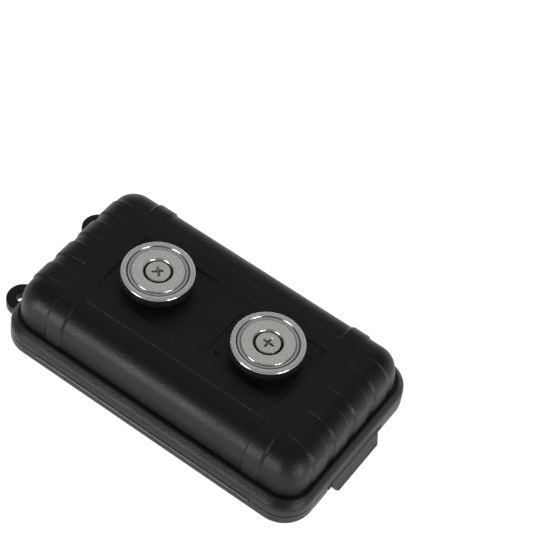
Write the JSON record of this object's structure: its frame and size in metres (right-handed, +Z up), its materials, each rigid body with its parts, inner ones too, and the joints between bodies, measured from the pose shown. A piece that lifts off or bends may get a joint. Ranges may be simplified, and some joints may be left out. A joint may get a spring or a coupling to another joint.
{
  "type": "magnetic key holder box",
  "caption": "Small hinged waterproof key case with a snap latch, lanyard ears and screwed-on pot magnets on its flat face.",
  "frame": {"origin": "middle of the lid's flat resting face, midway between the magnets' axes", "axes": "+X along the case towards the latch, +Z up out of the magnets' faces, +Y to the far side of the picture"},
  "size_m": [0.1441, 0.0798, 0.0475],
  "materials": {
    "black_abs": "satin moulded ABS with a fine grain",
    "nickel": "nickel plate, brushed",
    "steel": "zinc plated steel",
    "filler": "grey cast resin",
    "seal_rubber": "smooth silicone",
    "spacer_rubber": "matte rubber",
    "foam": "open-cell foam"
  },
  "bodies": {
    "lid": {"lid_shell": "black_abs", "lid_foam_pad": "foam"},
    "base": {"base_shell": "black_abs", "rim_seal": "seal_rubber", "hinge_pin": "steel", "latch_pin": "steel", "magnet_cup_hinge_end": "nickel", "magnet_ring_hinge_end": "nickel", "magnet_filler_hinge_end": "filler", "magnet_screw_hinge_end": "steel", "rubber_spacer_hinge_end": "spacer_rubber", "washer_hinge_end": "steel", "nut_hinge_end": "steel", "magnet_cup_latch_end": "nickel", "magnet_ring_latch_end": "nickel", "magnet_filler_latch_end": "filler", "magnet_screw_latch_end": "steel", "rubber_spacer_latch_end": "spacer_rubber", "washer_latch_end": "steel", "nut_latch_end": "steel"},
    "latch_lever": {"latch": "black_abs"}
  },
  "joints": [
    {"name": "case_hinge", "type": "hinge", "parent": "lid", "child": "base", "pos_m": [-0.0693, 0, 0.016], "axis": [0, -1, 0], "range_deg": [0, 105]},
    {"name": "latch_hinge", "type": "hinge", "parent": "base", "child": "latch_lever", "pos_m": [0.066, 0, 0.0139], "axis": [0, -1, 0], "range_deg": [0, 90]}
  ]
}
